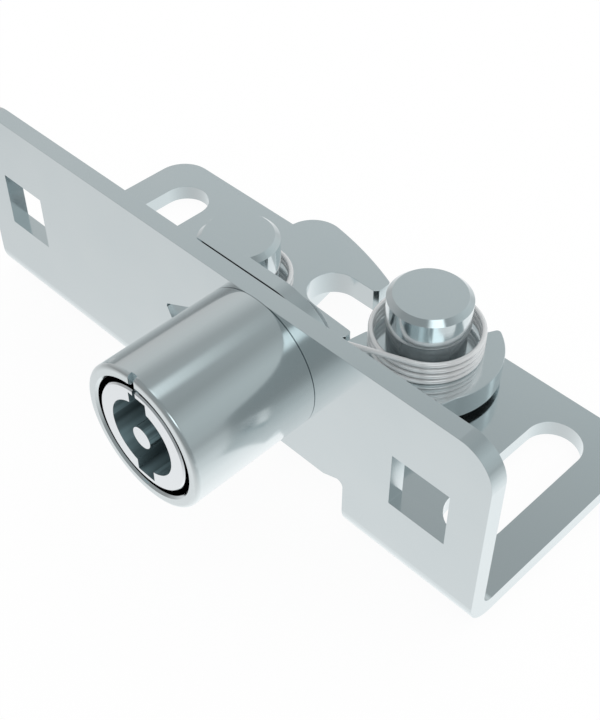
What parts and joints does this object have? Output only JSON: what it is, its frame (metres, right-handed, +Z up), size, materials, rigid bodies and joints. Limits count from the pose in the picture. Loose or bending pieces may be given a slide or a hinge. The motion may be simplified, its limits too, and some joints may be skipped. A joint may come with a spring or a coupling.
{
  "type": "rotary latch",
  "caption": "Folded-plate rotary latch: a sprung claw and pawl hold a striker bar, and a double-bit key in a round sleeve turns a cam that frees them.",
  "frame": {"origin": "the middle of the bottom of the part's box: the middle of the plate's length, 9.5 mm behind the flange's front face, on the underside of the base", "axes": "+X along the plate towards the pawl, +Y from the lock's face to the back of the base, so that the lock's sleeve points along -Y, +Z up from the base, whose underside faces -Z"},
  "size_m": [0.0938, 0.056, 0.0306],
  "materials": {
    "zinc_plate": "bright zinc on folded steel sheet",
    "satin_steel": "satin turned steel",
    "bright_steel": "bright steel",
    "turned_steel": "fine turned steel",
    "dark_steel": "plain dark steel",
    "zinc_lever": "bright zinc on blanked steel plate",
    "spring_wire": "drawn stainless spring wire",
    "seal_rubber": "black nitrile rubber"
  },
  "bodies": {
    "frame": {"bracket": "zinc_plate", "lock_sleeve": "satin_steel", "stop_pin": "bright_steel", "friction_washer": "bright_steel", "claw_stud": "turned_steel", "claw_bush": "dark_steel", "claw_washer": "dark_steel", "claw_spring": "spring_wire", "pawl_stud": "turned_steel", "pawl_bush": "dark_steel", "pawl_washer": "dark_steel", "pawl_spring": "spring_wire"},
    "plug": {"lock_plug": "satin_steel", "key_pin": "bright_steel", "plug_seal": "seal_rubber", "cam_plate": "zinc_plate", "cam_washer": "bright_steel", "cam_screw": "dark_steel"},
    "claw": {"claw": "zinc_lever"},
    "pawl": {"pawl": "zinc_lever"}
  },
  "joints": [
    {"name": "key_turn", "type": "hinge", "parent": "frame", "child": "plug", "pos_m": [0.01127, -0.0095, 0.02093], "axis": [0, -1, 0], "range_deg": [0, 90]},
    {"name": "claw_turn", "type": "hinge", "parent": "frame", "child": "claw", "pos_m": [-0.0115, 0.0082, 0.00565], "axis": [0, 0, 1], "range_deg": [0, 42.3], "stiffness_Nm_per_rad": 0.022, "springref_deg": 74.48, "deforming": ["claw_spring"]},
    {"name": "pawl_turn", "type": "hinge", "parent": "frame", "child": "pawl", "pos_m": [0.01585, 0.018, 0.00565], "axis": [0, 0, 1], "range_deg": [0, 27.9], "stiffness_Nm_per_rad": 0.014, "springref_deg": -57.3, "deforming": ["pawl_spring"]}
  ],
  "couplings": [
    {"joint": "claw_turn", "follows": "key_turn", "ratio": 0.47},
    {"joint": "pawl_turn", "follows": "key_turn", "ratio": 0.31}
  ]
}
